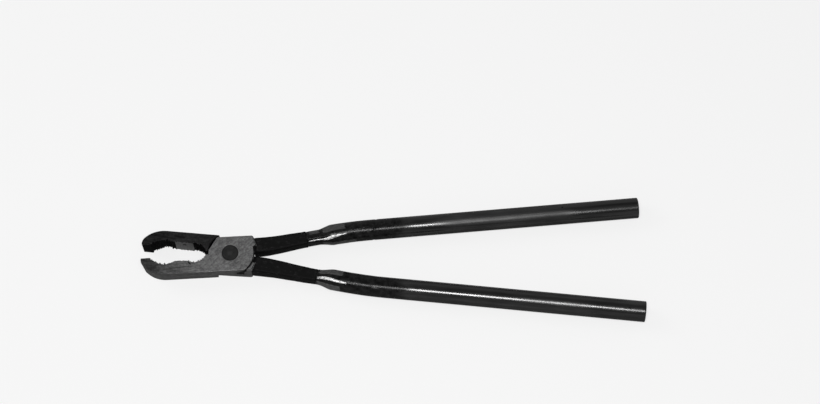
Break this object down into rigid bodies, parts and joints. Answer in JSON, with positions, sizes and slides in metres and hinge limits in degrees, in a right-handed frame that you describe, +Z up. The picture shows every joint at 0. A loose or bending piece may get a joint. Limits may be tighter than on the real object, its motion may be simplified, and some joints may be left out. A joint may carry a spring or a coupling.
{
  "type": "crucible tongs",
  "caption": "Long-handled crucible tongs: riveted lap-jointed forged jaws with a toothed, hollowed mouth, and round steel tube handles swaged onto the reins.",
  "frame": {"origin": "rivet axis at the face that the tongs rest on", "axes": "+X along the middle line towards the open ends of the handles, +Y towards the front half's handle, +Z up through the rivet"},
  "size_m": [0.3859, 0.1012, 0.016],
  "materials": {
    "front_forging": "ground and blued steel, black paint on the rein",
    "rear_forging": "dark forged steel, black paint on the rein",
    "rivet": "dark ground steel",
    "tube": "black paint fading to dark drawn steel",
    "weld": "dressed bright weld"
  },
  "bodies": {
    "rear_half": {"rear_jaw_half": "rear_forging", "pivot_rivet": "rivet", "lower_handle_tube": "tube", "lower_seam_weld": "weld"},
    "front_half": {"front_jaw_half": "front_forging", "upper_handle_tube": "tube", "upper_seam_weld": "weld"}
  },
  "joints": [
    {"name": "jaw_pivot", "type": "hinge", "parent": "rear_half", "child": "front_half", "pos_m": [0, 0, 0.008], "axis": [0, 0, 1], "range_deg": [-9.6, 30]}
  ]
}
